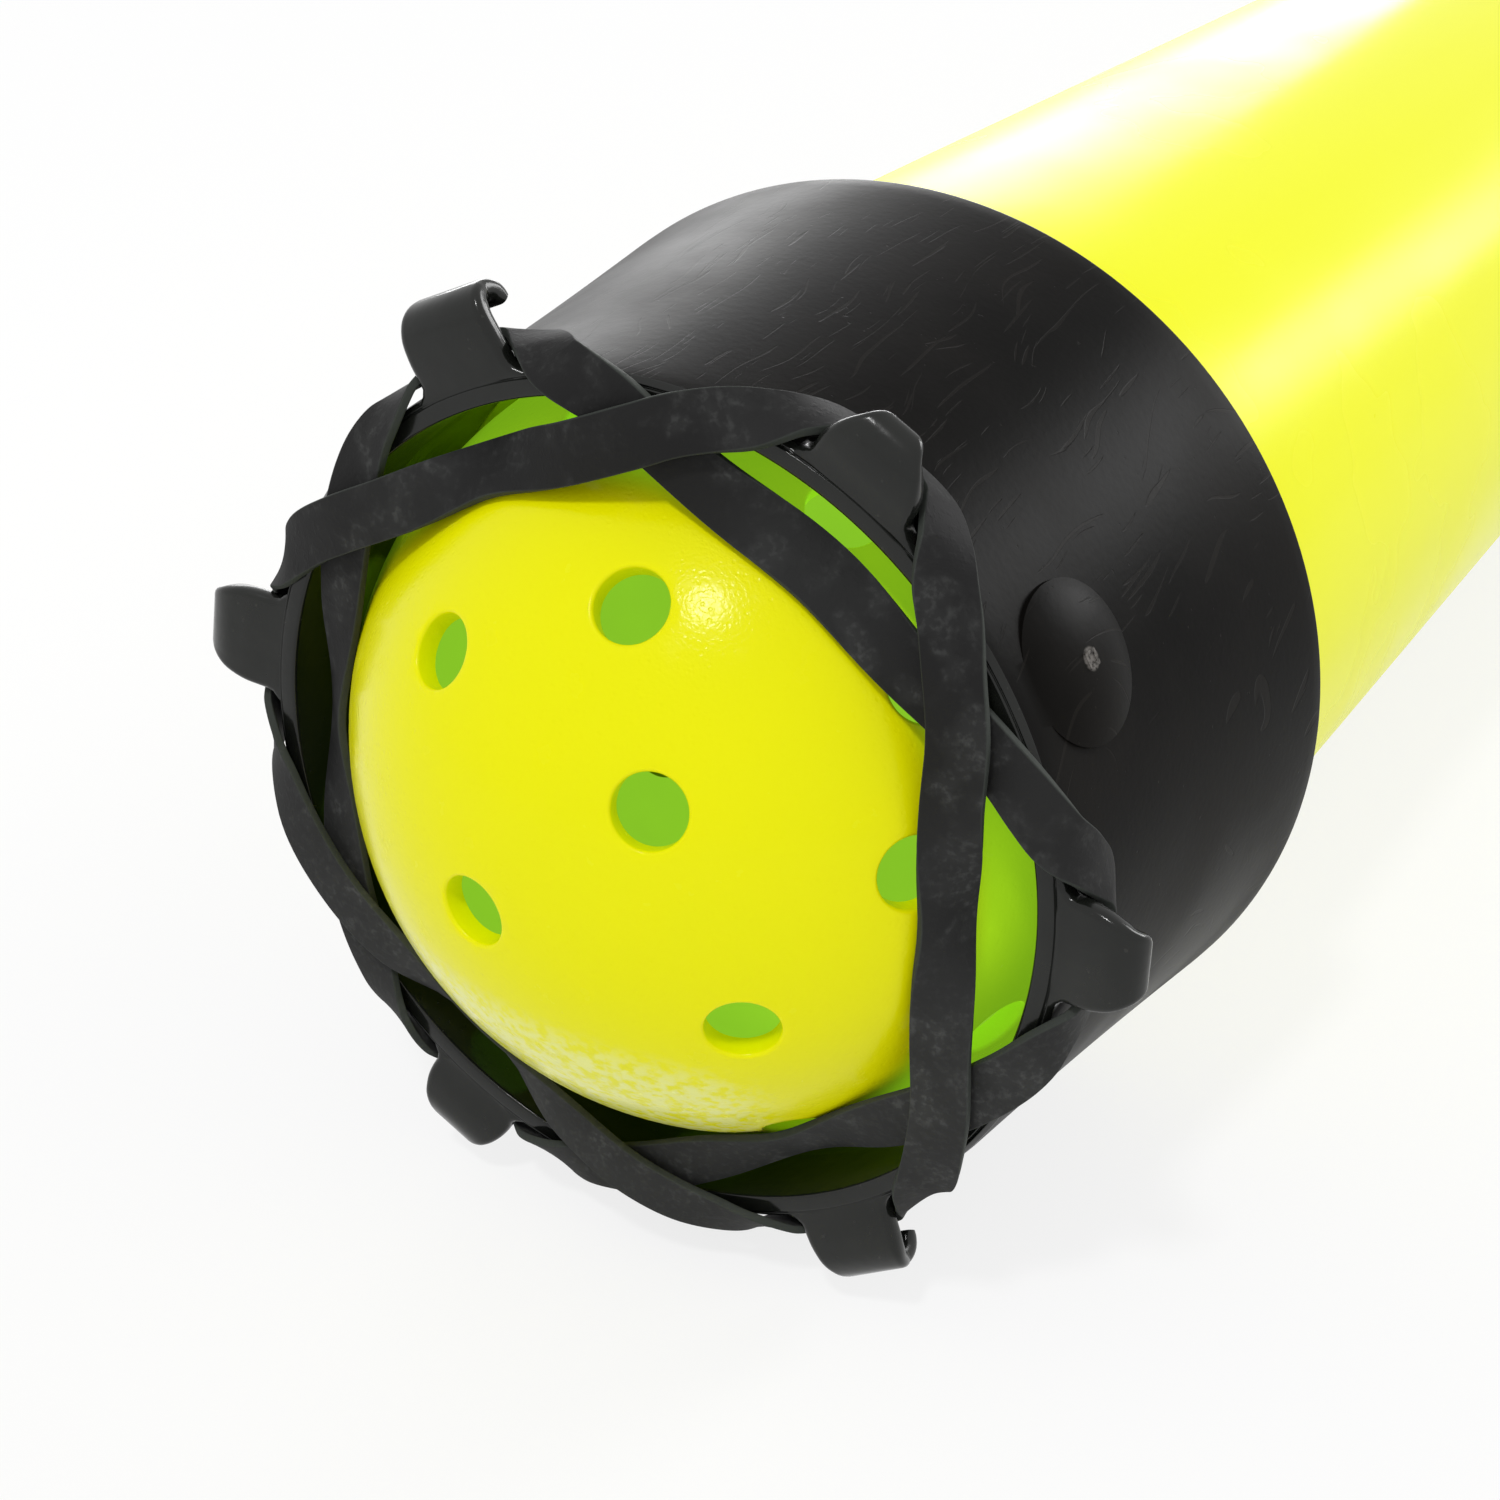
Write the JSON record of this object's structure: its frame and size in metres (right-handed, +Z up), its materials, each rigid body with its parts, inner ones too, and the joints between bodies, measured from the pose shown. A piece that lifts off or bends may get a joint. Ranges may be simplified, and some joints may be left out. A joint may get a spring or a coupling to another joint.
{
  "type": "pickleball pickup tube",
  "caption": "Long straight tube with a soft hooked collar and two crossed rubber bands at its mouth that let a ball in and then hold it, a ball in the mouth, and a push-on end cap.",
  "frame": {"origin": "middle of the whole object's length and width, on the floor it lies on", "axes": "+Y along the tube from its mouth to its end cap, +Z up, +X to the right seen from the mouth; the mouth faces -Y"},
  "size_m": [0.098, 1.042, 0.0902],
  "materials": {
    "tube_plastic": "clear tinted gloss",
    "collar_vinyl": "satin soft vinyl",
    "band_rubber": "chalky matte rubber",
    "band_rubber_over": "chalky matte rubber",
    "ball_plastic": "satin",
    "cap_plastic": "fine grained"
  },
  "bodies": {
    "tube": {"tube": "tube_plastic", "mouth_collar": "collar_vinyl", "under_band": "band_rubber", "over_band": "band_rubber_over"},
    "ball": {"ball": "ball_plastic"},
    "cap": {"end_cap": "cap_plastic"}
  },
  "joints": [
    {"name": "ball_slide", "type": "slide", "parent": "tube", "child": "ball", "axis": [0, 1, 0], "range_m": [0, 0.965]},
    {"name": "cap_pull", "type": "slide", "parent": "tube", "child": "cap", "axis": [0, 1, 0], "range_m": [0, 0.032]}
  ]
}
